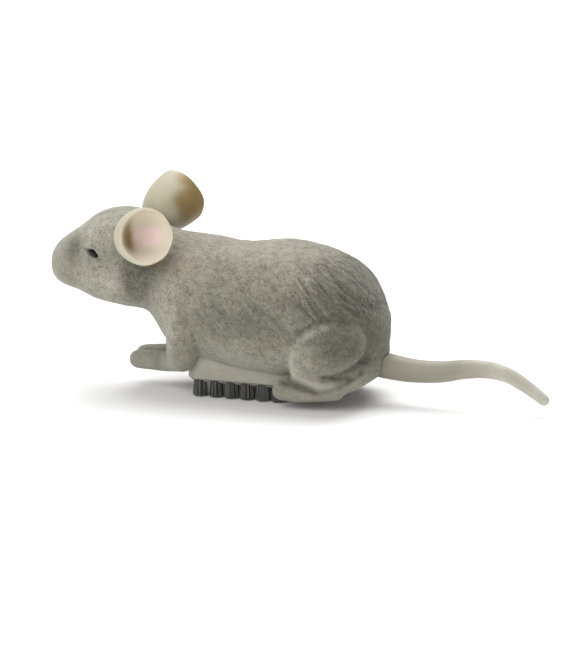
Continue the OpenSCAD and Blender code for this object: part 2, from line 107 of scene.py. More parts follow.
class MouseColours(bpy.types.PropertyGroup):
    coat: colour("Coat", "Main colour of the flocking",
        0.246, 0.234, 0.180)
    coat_light: colour("Coat light", "Lighter brushed flocking",
        0.410, 0.396, 0.325)
    # coat_pale_and_highlight: painted highlight on the ridges of the limbs and on the rim of the haunch that
    # faces the light, and lighter patches on the face and paws
    coat_pale_and_highlight: colour("Coat pale", "Rubbed edges of the limbs and face",
        0.540, 0.524, 0.440)
    # coat_dark_and_shade: colour of the dark combed strokes, also laid as painted shade in creases and
    # hollows
    coat_dark_and_shade: colour("Coat dark", "Creases and combed strokes",
        0.098, 0.092, 0.066)
    coat_fleck: colour("Coat flecks", "Dark flecks between the fibres",
        0.062, 0.058, 0.041)
    coat_warm: colour("Coat warm", "Faint warm tint over the back",
        0.370, 0.305, 0.236)
    ear: colour("Ear rubber", "Cream of the ears",
        0.465, 0.428, 0.322)
    # ear_lit_lining: painted light, the inside of the cup paler for light coming through the thin rubber
    ear_lit_lining: colour("Ear lining", "Paler cream inside the cup of the ear",
        0.690, 0.630, 0.505)
    ear_blush: colour("Ear blush", "Pink sprayed into the cup of the ear",
        0.930, 0.720, 0.695)
    # ear_shade: painted shade, golden brown in the depth of the cup and on the back of the ear turned from
    # the light
    ear_shade: colour("Ear shade", "Golden brown in the depth and on the back of the ear",
        0.265, 0.185, 0.060)
    tail: colour("Tail rubber", "Grey cream of the tail",
        0.285, 0.268, 0.208)
    tail_tip: colour("Tail tip", "Paler rubber at the tail's tip",
        0.500, 0.480, 0.410)
    block: colour("Brush block", "Plastic of the block under the belly",
        0.360, 0.350, 0.296)
    bristle: colour("Bristles", "Nylon of the bristles",
        0.088, 0.088, 0.084)
    floor: colour("Floor", "Colour of the floor",
        0.93, 0.93, 0.93)


def sizes():
    return bpy.context.scene.mouse_sizes


def colours():
    return bpy.context.scene.mouse_colours


# ---- working by hand ----
def drop_selection():
    if bpy.context.object and bpy.context.object.mode != "OBJECT":
        bpy.ops.object.mode_set(mode="OBJECT")
    bpy.ops.object.select_all(action="DESELECT")


def pick(obj):
    drop_selection()
    obj.select_set(True)
    bpy.context.view_layer.objects.active = obj


def in_edit(obj, mode="VERT"):
    pick(obj)
    bpy.ops.object.mode_set(mode="EDIT")
    bpy.ops.mesh.select_mode(type=mode)


def out_of_edit():
    bpy.ops.object.mode_set(mode="OBJECT")


def add_modifier(obj, kind, **values):
    """Adds a modifier and applies it."""
    pick(obj)
    modifier = obj.modifiers.new(kind.title(), kind)
    for key, value in values.items():
        setattr(modifier, key, value)
    bpy.ops.object.modifier_apply(modifier=modifier.name)


def settle(obj):
    """Puts the piece's place into its mesh."""
    pick(obj)
    bpy.ops.object.transform_apply(location=True, rotation=True, scale=True)


def face_out(obj):
    in_edit(obj)
    bpy.ops.mesh.select_all(action="SELECT")
    bpy.ops.mesh.normals_make_consistent(inside=False)
    out_of_edit()


def smooth_shading(obj, angle=None):
    pick(obj)
    if angle is None:
        bpy.ops.object.shade_smooth()
    else:
        bpy.ops.object.shade_smooth_by_angle(angle=math.radians(angle))


def copy_of_node(node, name):
    """A merged copy of a CAD node, free of its body."""
    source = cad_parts[node]
    obj = source.copy()
    obj.data = source.data.copy()
    obj.name = obj.data.name = name
    obj.parent = None
    obj.matrix_world = Matrix.Identity(4)
    obj.data.materials.clear()
    bpy.context.scene.collection.objects.link(obj)
    in_edit(obj)
    bpy.ops.mesh.select_all(action="SELECT")
    bpy.ops.mesh.remove_doubles(threshold=2e-6)
    out_of_edit()
    return obj


def softened_copy(node, name, radius=0.15, angle=32):
    """A copy of a CAD node with its flat faces joined up and its edges rounded."""
    obj = copy_of_node(node, name)
    in_edit(obj)
    bpy.ops.mesh.select_all(action="SELECT")
    bpy.ops.mesh.dissolve_limited(angle_limit=math.radians(1.0))
    out_of_edit()
    add_modifier(obj, "BEVEL", width=radius * MM, segments=2, limit_method="ANGLE",
                 angle_limit=math.radians(angle), use_clamp_overlap=True)
    smooth_shading(obj, 40)
    return obj


def positions(obj):
    data = np.empty(len(obj.data.vertices) * 3)
    obj.data.vertices.foreach_get("co", data)
    return data.reshape(-1, 3) / MM


def normals(obj):
    data = np.empty(len(obj.data.vertices) * 3, dtype=np.float32)
    obj.data.vertex_normals.foreach_get("vector", data)
    return data.reshape(-1, 3).astype(float)


def put_positions(obj, points):
    obj.data.vertices.foreach_set("co", (points * MM).ravel())
    obj.data.update()


def paint(obj, name, values):
    """Stores one number a vertex for the materials to read."""
    layer = obj.data.attributes.new(name, "FLOAT", "POINT")
    layer.data.foreach_set("value", np.asarray(values, dtype=np.float32))


def finish_piece(obj, material, node_names, body=FIXED_BODY):
    obj.data.materials.clear()
    obj.data.materials.append(material)
    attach(obj, body)
    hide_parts(*node_names)


def blob(points, centre, reach):
    """1 at the centre, falling smoothly to nothing about one reach away."""
    d = ((points - np.array(centre)) / np.array(reach)) ** 2
    return np.exp(-d.sum(axis=1))


def ramp(values, low, high):
    t = np.clip((values - low) / (high - low), 0, 1)
    return t * t * (3 - 2 * t)


def relaxed(obj, points, rounds):
    """The points after many rounds of moving each halfway to the middle of its neighbours."""
    ends = np.empty(len(obj.data.edges) * 2, dtype=np.int32)
    obj.data.edges.foreach_get("vertices", ends)
    a, b = ends.reshape(-1, 2).T
    count = len(points)
    degree = np.bincount(a, minlength=count) + np.bincount(b, minlength=count)
    for _ in range(rounds):
        around = np.stack([np.bincount(a, points[b, k], count) + np.bincount(b, points[a, k], count)
                           for k in range(3)], axis=1)
        points = 0.5 * points + 0.5 * around / degree[:, None]
    return points


def near_line(points, first, last):
    """Distance in the side view from the line between two points, given as (x, z)."""
    a, b = np.array(first), np.array(last)
    flat = points[:, [0, 2]] - a
    t = np.clip(flat @ (b - a) / ((b - a) @ (b - a)), 0, 1)
    return np.linalg.norm(flat - t[:, None] * (b - a), axis=1)


def noise_at(points, seed=0.0):
    return np.array([noise.noise(Vector((p[0], p[1], p[2] + seed))) for p in points])


# ---- materials ----
class Nodes:
    """Adds and wires the nodes of one material or group."""

    def __init__(self, tree):
        self.tree = tree

    def add(self, kind, label="", **values):
        node = self.tree.nodes.new("ShaderNode" + kind)
        node.label = label
        for key, value in values.items():
            setattr(node, key, value)
        return node

    def wire(self, source, target):
        self.tree.links.new(source, target)

    def maths(self, operation, first, second=None, label=""):
        node = self.add("Math", label, operation=operation)
        for socket, value in zip(node.inputs, (first, second)):
            if value is None:
                continue
            if hasattr(value, "is_output"):
                self.wire(value, socket)
            else:
                socket.default_value = value
        return node.outputs[0]

    def mix(self, mask, first, second, label=""):
        node = self.add("Mix", label, data_type="RGBA")
        for socket, value in ((node.inputs[0], mask), (node.inputs[6], first), (node.inputs[7], second)):
            if hasattr(value, "is_output"):
                self.wire(value, socket)
            else:
                socket.default_value = value
        return node.outputs[2]

    def spread(self, value, low, high, label=""):
        node = self.add("MapRange", label, interpolation_type="SMOOTHSTEP")
        self.wire(value, node.inputs["Value"])
        node.inputs["From Min"].default_value = low
        node.inputs["From Max"].default_value = high
        return node.outputs["Result"]

    def cloud(self, vector, scale, detail=2.0, rough=0.5, label=""):
        node = self.add("TexNoise", label)
        self.wire(vector, node.inputs["Vector"])
        node.inputs["Scale"].default_value = scale
        node.inputs["Detail"].default_value = detail
        node.inputs["Roughness"].default_value = rough
        return node.outputs["Fac"]

    def group(self, tree, label="", **values):
        node = self.add("Group", label)
        node.node_tree = tree
        for key, value in values.items():
            socket = node.inputs[key.replace("_", " ")]
            if hasattr(value, "is_output"):
                self.wire(value, socket)
            else:
                socket.default_value = value
        return node

    def millimetres(self, turn=(0.0, 0.0, 0.0), stretch=(1.0, 1.0, 1.0)):
        """Object coordinates in millimetres, turned and stretched."""
        place = self.add("TexCoord", "Place on the piece")
        mapping = self.add("Mapping", "To millimetres")
        self.wire(place.outputs["Object"], mapping.inputs["Vector"])
        mapping.inputs["Scale"].default_value = tuple(1000.0 * s for s in stretch)
        if any(turn):
            first = self.add("Mapping", "Turn")
            self.wire(place.outputs["Object"], first.inputs["Vector"])
            first.inputs["Rotation"].default_value = tuple(math.radians(t) for t in turn)
            self.wire(first.outputs["Vector"], mapping.inputs["Vector"])
        return mapping.outputs["Vector"]

    def bump(self, height, distance, strength=1.0, normal=None):
        node = self.add("Bump")
        self.wire(height, node.inputs["Height"])
        node.inputs["Distance"].default_value = distance * MM
        node.inputs["Strength"].default_value = strength
        if normal is not None:
            self.wire(normal, node.inputs["Normal"])
        return node.outputs["Normal"]


def new_group(name, inputs, outputs):
    tree = bpy.data.node_groups.new(name, "ShaderNodeTree")
    for socket, kind, default in inputs:
        made = tree.interface.new_socket(socket, in_out="INPUT", socket_type="NodeSocket" + kind)
        if default is not None:
            made.default_value = default
    for socket, kind in outputs:
        tree.interface.new_socket(socket, in_out="OUTPUT", socket_type="NodeSocket" + kind)
    return tree, Nodes(tree), tree.nodes.new("NodeGroupInput"), tree.nodes.new("NodeGroupOutput")


def new_material(name, roughness=0.5, metallic=0.0):
    material = bpy.data.materials.new(name)
    material.use_nodes = True
    tree = material.node_tree
    tree.nodes.clear()
    nodes = Nodes(tree)
    shader = nodes.add("BsdfPrincipled", name)
    output = nodes.add("OutputMaterial")
    nodes.wire(shader.outputs["BSDF"], output.inputs["Surface"])
    shader.inputs["Roughness"].default_value = roughness
    shader.inputs["Metallic"].default_value = metallic
    return material, nodes, shader


def grain_group():
    """Fine uneven grain: a mask for colour and a height for bump."""
    tree, n, start, end = new_group(
        "Fine grain",
        [("Vector", "Vector", None), ("Size", "Float", 1.0), ("Contrast", "Float", 0.5)],
        [("Mask", "Float"), ("Height", "Float")])
    scale = n.maths("DIVIDE", 1.0, start.outputs["Size"], "Grains a millimetre")
    fine = n.add("TexNoise", "Grain")
    n.wire(start.outputs["Vector"], fine.inputs["Vector"])
    n.wire(scale, fine.inputs["Scale"])
    fine.inputs["Detail"].default_value = 5.0
    fine.inputs["Roughness"].default_value = 0.72
    mask = n.spread(fine.outputs["Fac"], 0.38, 0.62, "Grain mask")
    n.wire(n.maths("MULTIPLY", mask, start.outputs["Contrast"]), end.inputs["Mask"])
    n.wire(fine.outputs["Fac"], end.inputs["Height"])
    return tree


def wear_group():
    """Patches of handling: where a surface is rubbed smoother and a little paler."""
    tree, n, start, end = new_group(
        "Handling", [("Vector", "Vector", None), ("Size", "Float", 6.0), ("Amount", "Float", 0.5)],
        [("Mask", "Float")])
    scale = n.maths("DIVIDE", 1.0, start.outputs["Size"])
    patches = n.add("TexNoise", "Patches")
    n.wire(start.outputs["Vector"], patches.inputs["Vector"])
    n.wire(scale, patches.inputs["Scale"])
    patches.inputs["Detail"].default_value = 4.0
    n.wire(n.maths("MULTIPLY", n.spread(patches.outputs["Fac"], 0.42, 0.66), start.outputs["Amount"]),
           end.inputs["Mask"])
    return tree


SHARED = {}


def shared(name, maker):
    if name not in SHARED:
        SHARED[name] = maker()
    return SHARED[name]


def coat_material():
    """Short flocking: brushed patches, strokes combed down to the tail, and dark flecks between fibres."""
    c = colours()
    material, n, shader = new_material("Flocked coat", roughness=0.95)
    place = n.millimetres()
    strokes = n.millimetres(turn=(0, 47, 0), stretch=(0.9, 0.45, 0.17))
    flecks = n.group(shared("grain", grain_group), "Fibre flecks", Vector=place, Size=0.30, Contrast=1.0)
    clumps = n.group(shared("grain", grain_group), "Clumped fibres", Vector=place, Size=1.15, Contrast=1.0)
    patches = n.spread(n.cloud(place, 0.13, 4.0, 0.6, "Brushed patches"), 0.36, 0.66)
    brushed = n.spread(n.cloud(strokes, 1.7, 2.0, 0.6, "Brushed strokes"), 0.40, 0.58)
    furry = n.add("Attribute", "How furry", attribute_name="furry").outputs["Fac"]
    combed = n.add("Attribute", "Combed strokes", attribute_name="combed").outputs["Fac"]
    # pale: painted highlight on ridges and on the rim of the haunch that faces the light, with lighter
    # patches on the face and paws
    pale = n.add("Attribute", "Pale parts", attribute_name="pale").outputs["Fac"]
    # painted shade: the attribute marks creases, hollows, the neck under the ear, the rump and the flank,
    # where shade falls
    painted_shade = n.add("Attribute", "Creases", attribute_name="painted_shade").outputs["Fac"]
    groove = n.add("Attribute", "Moulded strokes", attribute_name="groove").outputs["Fac"]
    lie = n.group(shared("grain", grain_group), "Lie of the fibres",
                  Vector=n.millimetres(turn=(0, 47, 0), stretch=(1.0, 0.8, 0.30)), Size=0.34, Contrast=1.0)
    base = n.mix(n.maths("MULTIPLY", patches, 0.75), tuple(c.coat), tuple(c.coat_light), "Patchy flocking")
    warm = n.spread(n.cloud(place, 0.19, 2.0, 0.5, "Warm tint"), 0.46, 0.70)
    warmed = n.add("Attribute", "Warm parts", attribute_name="warmed").outputs["Fac"]
    base = n.mix(n.maths("MULTIPLY", warmed, n.maths("ADD", 0.25, warm)), base,
                 tuple(c.coat_warm), "Warm back")
    base = n.mix(n.maths("MULTIPLY", pale, 0.85), base, tuple(c.coat_pale_and_highlight), "Paler parts")
    stroke_mask = n.maths("MULTIPLY", n.maths("SUBTRACT", 1.0, brushed), n.maths("MULTIPLY", combed, 0.80))
    base = n.mix(stroke_mask, base, tuple(c.coat_dark_and_shade), "Dark strokes")
    base = n.mix(n.maths("MULTIPLY", lie.outputs["Mask"], 0.42), base,
                 tuple(c.coat_light), "Lie of the fibres")
    clump = n.maths("MULTIPLY", clumps.outputs["Mask"],
                    n.maths("ADD", 0.08, n.maths("MULTIPLY", furry, 0.30)))
    base = n.mix(clump, base, tuple(c.coat_light), "Clump tips")
    # painted shade: the crease colour laid where the attribute marks shade, a little less on clumped fibres
    shade_breakup = n.maths("SUBTRACT", 0.98, n.maths("MULTIPLY", clumps.outputs["Mask"], 0.34))
    base = n.mix(n.maths("MULTIPLY", painted_shade, shade_breakup), base, tuple(c.coat_dark_and_shade), "Dark creases")
    base = n.mix(n.maths("MULTIPLY", groove, 0.55), base, tuple(c.coat_fleck), "Moulded strokes")
    fleck = n.maths("SUBTRACT", 1.0, flecks.outputs["Mask"])
    uneven = n.spread(n.cloud(place, 0.55, 3.0, 0.7, "Thin and thick flock"), 0.30, 0.72)
    fleck = n.maths("MULTIPLY", fleck, n.maths("ADD", 0.22, n.maths("MULTIPLY", uneven, 0.72)))
    fleck = n.maths("MULTIPLY", fleck, n.maths("ADD", 0.30, n.maths("MULTIPLY", furry, 0.74)))
    base = n.mix(fleck, base, tuple(c.coat_fleck), "Flecks")
    n.wire(base, shader.inputs["Base Color"])
    height = n.maths("ADD", n.maths("MULTIPLY", flecks.outputs["Height"], 0.55),
                     n.maths("MULTIPLY", clumps.outputs["Height"], 0.8))
    height = n.maths("ADD", height, n.maths("MULTIPLY", brushed, n.maths("MULTIPLY", combed, 0.9)))
    n.wire(n.bump(height, 0.42, 0.9), shader.inputs["Normal"])
    shader.inputs["Specular IOR Level"].default_value = 0.10
    shader.inputs["Sheen Weight"].default_value = 0.40
    shader.inputs["Sheen Roughness"].default_value = 0.55
    shader.inputs["Sheen Tint"].default_value = (0.90, 0.89, 0.84, 1.0)
    return material


def ear_material():
    c = colours()
    material, n, shader = new_material("Cream ear rubber", roughness=0.46)
    place = n.millimetres()
    grain = n.group(shared("grain", grain_group), "Rubber grain", Vector=place, Size=0.35, Contrast=1.0)
    rubbed = n.group(shared("wear", wear_group), "Handling", Vector=place, Size=4.0, Amount=1.0)
    blush = n.add("Attribute", "Blush", attribute_name="blush").outputs["Fac"]
    shade = n.add("Attribute", "Shade", attribute_name="shade").outputs["Fac"]
    rim = n.add("Attribute", "Rim", attribute_name="rim").outputs["Fac"]
    cloudy = n.cloud(place, 0.42, 4.0, 0.55, "Spray edge")
    base = n.mix(n.maths("MULTIPLY", rubbed.outputs["Mask"], 0.25), tuple(c.ear), (0.430, 0.385, 0.270, 1.0))
    # painted light: paler inside the cup, standing for light coming through the rubber
    lit_lining = n.add("Attribute", "Lining", attribute_name="lit_lining").outputs["Fac"]
    base = n.mix(n.maths("MULTIPLY", lit_lining, 0.95), base, tuple(c.ear_lit_lining), "Pale lining")
    base = n.mix(n.maths("MULTIPLY", rim, 0.35), base, (0.560, 0.520, 0.410, 1.0), "Pale rim")
    # painted shade: golden brown where the shade attribute marks it
    soft_shade = n.maths("MULTIPLY", shade, n.maths("ADD", 0.66, n.maths("MULTIPLY", cloudy, 0.6)))
    base = n.mix(n.spread(soft_shade, 0.0, 1.0), base, tuple(c.ear_shade), "Golden shade")
    soft_blush = n.maths("MULTIPLY", blush, n.maths("ADD", 0.62, n.maths("MULTIPLY", cloudy, 0.75)))
    base = n.mix(n.spread(soft_blush, 0.05, 0.80), base, tuple(c.ear_blush), "Pink blush")
    n.wire(base, shader.inputs["Base Color"])
    n.wire(n.maths("ADD", 0.40, n.maths("MULTIPLY", rubbed.outputs["Mask"], 0.18)),
           shader.inputs["Roughness"])
    n.wire(n.bump(grain.outputs["Height"], 0.05, 0.35), shader.inputs["Normal"])
    shader.inputs["Subsurface Weight"].default_value = 0.35
    shader.inputs["Subsurface Radius"].default_value = (1.0, 0.62, 0.36)
    shader.inputs["Subsurface Scale"].default_value = 0.0011
    shader.inputs["Specular IOR Level"].default_value = 0.38
    return material


def tail_material():
    c = colours()
    material, n, shader = new_material("Tail rubber", roughness=0.5)
    place = n.millimetres()
    along = n.add("Attribute", "Along the tail", attribute_name="along").outputs["Fac"]
    grain = n.group(shared("grain", grain_group), "Rubber grain", Vector=place, Size=0.5, Contrast=1.0)
    rubbed = n.group(shared("wear", wear_group), "Handling", Vector=place, Size=7.0, Amount=1.0)
    base = n.mix(n.spread(along, 0.35, 1.0), tuple(c.tail), tuple(c.tail_tip), "Paler to the tip")
    base = n.mix(n.maths("MULTIPLY", rubbed.outputs["Mask"], 0.30), base, (0.300, 0.280, 0.205, 1.0), "Grime")
    base = n.mix(n.maths("MULTIPLY", grain.outputs["Mask"], 0.10), base, tuple(c.coat_dark_and_shade), "Specks")
    n.wire(base, shader.inputs["Base Color"])
    n.wire(n.maths("ADD", 0.44, n.maths("MULTIPLY", rubbed.outputs["Mask"], 0.2)), shader.inputs["Roughness"])
    n.wire(n.bump(grain.outputs["Height"], 0.06, 0.4), shader.inputs["Normal"])
    shader.inputs["Subsurface Weight"].default_value = 0.2
    shader.inputs["Subsurface Radius"].default_value = (1.0, 0.7, 0.45)
    shader.inputs["Subsurface Scale"].default_value = 0.001
    shader.inputs["Specular IOR Level"].default_value = 0.35
    return material


def plastic_material(name, colour, roughness=0.45, grain_size=0.25, bump_depth=0.03, tint=(0.80, 0.76, 0.66)):
    """Moulded plastic: faint mottling, fine grain and a rubbed sheen."""
    material, n, shader = new_material(name, roughness=roughness)
    place = n.millimetres()
    grain = n.group(shared("grain", grain_group), "Mould grain", Vector=place, Size=grain_size, Contrast=1.0)
    rubbed = n.group(shared("wear", wear_group), "Handling", Vector=place, Size=3.5, Amount=1.0)
    toned = tuple(a * b for a, b in zip(colour[:3], tint)) + (1.0,)
    base = n.mix(n.maths("MULTIPLY", rubbed.outputs["Mask"], 0.45), tuple(colour), toned, "Mottling")
    base = n.mix(n.maths("MULTIPLY", grain.outputs["Mask"], 0.10), base, toned, "Specks")
    n.wire(base, shader.inputs["Base Color"])
    n.wire(n.maths("ADD", roughness - 0.08, n.maths("MULTIPLY", rubbed.outputs["Mask"], 0.2)),
           shader.inputs["Roughness"])
    n.wire(n.bump(grain.outputs["Height"], bump_depth, 0.5), shader.inputs["Normal"])
    return material


def metal_material(name, colour, roughness=0.3, stretch=(1.0, 1.0, 0.06), turn=(0.0, 0.0, 0.0)):
    """Drawn, rolled or turned metal, with its marks running one way."""
    material, n, shader = new_material(name, roughness=roughness, metallic=1.0)
    place = n.millimetres(turn=turn, stretch=stretch)
    marks = n.group(shared("grain", grain_group), "Tool marks", Vector=place, Size=0.16, Contrast=1.0)
    oil = n.group(shared("wear", wear_group), "Oil film", Vector=n.millimetres(), Size=5.0, Amount=1.0)
    dull = tuple(0.72 * a for a in colour[:3]) + (1.0,)
    base = n.mix(n.maths("MULTIPLY", marks.outputs["Mask"], 0.35), tuple(colour), dull, "Tool marks")
    base = n.mix(n.maths("MULTIPLY", oil.outputs["Mask"], 0.35), base, dull, "Oil film")
    n.wire(base, shader.inputs["Base Color"])
    n.wire(n.maths("ADD", roughness - 0.06, n.maths("MULTIPLY", marks.outputs["Mask"], 0.22)),
           shader.inputs["Roughness"])
    n.wire(n.bump(marks.outputs["Height"], 0.012, 0.5), shader.inputs["Normal"])
    return material


def bristle_material():
    c = colours()
    material, n, shader = new_material("Bristle nylon", roughness=0.42)
    tone = n.add("Attribute", "Tone of each bristle", attribute_name="tone").outputs["Fac"]
    grain = n.group(shared("grain", grain_group), "Drawn nylon",
                    Vector=n.millimetres(stretch=(1.0, 1.0, 0.2)),
                    Size=0.12, Contrast=1.0)
    pale = tuple(1.9 * a for a in c.bristle[:3]) + (1.0,)
    base = n.mix(tone, tuple(c.bristle), pale, "Bristle to bristle")
    base = n.mix(n.maths("MULTIPLY", grain.outputs["Mask"], 0.25), base, (0.02, 0.02, 0.018, 1.0))
    n.wire(base, shader.inputs["Base Color"])
    n.wire(n.bump(grain.outputs["Height"], 0.01, 0.4), shader.inputs["Normal"])
    return material


def eye_material():
    material, n, shader = new_material("Black eye bead", roughness=0.35)
    place = n.millimetres()
    dust = n.group(shared("grain", grain_group), "Dust", Vector=place, Size=0.2, Contrast=1.0)
    base = n.mix(n.maths("MULTIPLY", dust.outputs["Mask"], 0.25), (0.012, 0.010, 0.007, 1.0),
                 (0.05, 0.042, 0.028, 1.0), "Dusty black")
    n.wire(base, shader.inputs["Base Color"])
    n.wire(n.maths("ADD", 0.42, n.maths("MULTIPLY", dust.outputs["Mask"], 0.25)), shader.inputs["Roughness"])
    shader.inputs["Specular IOR Level"].default_value = 0.22
    return material


# ---- the places that the pieces share, in millimetres ----
EAR_FOOT = (-41.3, 8.4, 39.8)
EAR_TURNS = {"left": (50.5, 14.0), "right": (61.0, 26.0)}
EYE_PLACE = (-51.1, 8.75, 34.8)
EYE_SLANT = 22.0
TAIL_LINE = [(20.6, 9.9, 3.3), (24.5, 9.3, 3.2), (30.0, 8.8, 2.95), (37.0, 9.1, 2.7), (43.5, 10.3, 2.4),
             (49.5, 10.6, 2.15), (54.8, 9.5, 1.9), (59.6, 6.9, 1.65), (63.5, 4.2, 1.45)]
TAIL_PLUG = [(14.9, 9.1, 1.9), (15.2, 9.12, 2.0), (17.4, 9.4, 2.0), (17.5, 9.42, 2.2), (20.3, 9.86, 2.2)]
TAIL_TIP = [(64.25, 3.68, 1.26), (64.62, 3.43, 0.95), (64.82, 3.29, 0.55), (64.90, 3.24, 0.12)]


# ---- coat ----
# soft patches on the coat: how much, the centre and the reach, with y counting outwards on both sides
HEAD_RELIEF = (
    (0.45, (-49.5, 8.4, 38.2), (3.4, 3.0, 1.9)),     # brow
    (0.50, (-48.6, 10.0, 30.4), (4.0, 4.0, 2.8)),    # cheek
    (-0.50, (-56.2, 6.8, 35.4), (2.0, 3.0, 2.2)),    # hollow in front of the eye
    (0.30, (-61.0, 4.5, 30.0), (2.6, 3.4, 3.2)),     # muzzle
    (-0.45, (-41.5, 11.0, 31.5), (3.6, 4.0, 5.0)),   # hollow behind the cheek
)
TOE_GAPS = (
    (0.28, (-2.2, 12.2, 4.6), (2.0, 0.30, 1.9)),     # hind foot
    (0.28, (-2.2, 13.8, 4.6), (2.0, 0.30, 1.9)),
    (0.22, (-42.6, 2.05, 6.3), (1.9, 0.28, 1.5)),    # forepaw
    (0.22, (-42.6, 3.45, 6.3), (1.9, 0.28, 1.5)),
)
# lighter patches on the face, laid in with the painted highlight
PALE_PATCHES = (
    (0.85, (-46.5, 10, 28.5), (4.6, 5, 3.6)),        # cheek
    (0.50, (-43.5, 11, 33), (1.6, 4, 3.0)),          # behind the eye
    (0.35, (-54.0, 7, 31.5), (2.5, 4, 4)),           # below the eye
    (0.75, (-53.3, 7.5, 37.0), (1.3, 4, 3.6)),       # in front of the eye
    (0.30, (-50, 6, 40), (5, 6, 3)),                 # brow
    (0.65, (-47, 5, 41), (6, 6, 4)),                 # crown
)
# painted shade: darker where shade falls under the ear, beside the muzzle, under the chin and over the flank
SHADE_PATCHES = (
    (0.80, (-38.0, 11, 34.5), (5.0, 5, 3.6)),        # under the ear
    (0.95, (-56.8, 6.4, 35.0), (3.0, 4.0, 3.2)),     # muzzle
    (0.50, (-59, 5, 27.5), (4, 5, 2.8)),             # chin
    (0.62, (-10, 18, 23), (17, 7, 7)),               # flank
)
SHANK_FOLD = ((0.2, 7.4), (8.6, 5.4))
HAUNCH_FOLD = ((11.0, 9.3), (17.4, 9.2))
SHIN = ((3.0, 8.6), (13.5, 6.2))
HAUNCH_PLACE, HAUNCH_LONG, HAUNCH_TALL, HAUNCH_LEAN = (12.2, 10.2, 15.0), 11.4, 7.9, 31.0
STROKE_SLOPE, STROKE_LONG, STROKE_WIDE = 43.0, 9.0, 0.74


def patches(points, table):
    return sum(amount * blob(points, centre, reach) for amount, centre, reach in table)


def band(distance, width):
    """1 on a line, falling smoothly to nothing about one width away."""
    return np.exp(-(distance / width) ** 2)


def folded(points):
    """The points with both sides laid on one, y counting outwards."""
    return np.stack([points[:, 0], np.abs(points[:, 1]), points[:, 2]], axis=1)


def fur_strokes(p):
    """Where the coat is combed back and down, and the grooves of the strokes."""
    slope = math.radians(STROKE_SLOPE)
    along = p[:, 0] * math.cos(slope) - p[:, 2] * math.sin(slope)
    across = p[:, 0] * math.sin(slope) + p[:, 2] * math.cos(slope)
    wavy = across + 0.40 * np.sin(along / 4.2 + p[:, 1] * 0.21)
    strokes = noise_at(np.stack([along / STROKE_LONG, wavy / STROKE_WIDE, p[:, 1] / 11.0], axis=1), 3.1)
    rump = ramp(p[:, 0], -4, 9) * ramp(p[:, 2], 21, 26) * (1 - 0.6 * ramp(p[:, 2], 35.5, 38.0))
    flank = 0.34 * ramp(p[:, 0], -26, -16) * ramp(p[:, 2], 15, 21) * (1 - ramp(p[:, 2], 35, 38))
    return np.maximum(rump, flank), np.maximum(0, strokes) ** 0.8


def eye_almond(q):
    """Half-widths of the slanting eye from its middle to each point, and which points are near it."""
    d = q - np.array(EYE_PLACE)
    slant = math.radians(EYE_SLANT)
    long = d[:, 0] * math.cos(slant) - d[:, 2] * math.sin(slant)
    tall = d[:, 0] * math.sin(slant) + d[:, 2] * math.cos(slant)
    return np.sqrt((long / 1.8) ** 2 + (tall / 0.64) ** 2), np.abs(d[:, 1]) < 3.2


def haunch_oval(q):
    """How far out each point is on the oval of the haunch, 1 at its edge, and in which direction."""
    d = q - np.array(HAUNCH_PLACE)
    lean = math.radians(HAUNCH_LEAN)
    u = (d[:, 0] * math.cos(lean) + d[:, 2] * math.sin(lean)) / HAUNCH_LONG
    w = (d[:, 2] * math.cos(lean) - d[:, 0] * math.sin(lean)) / HAUNCH_TALL
    return np.hypot(u, w), np.arctan2(w, u)


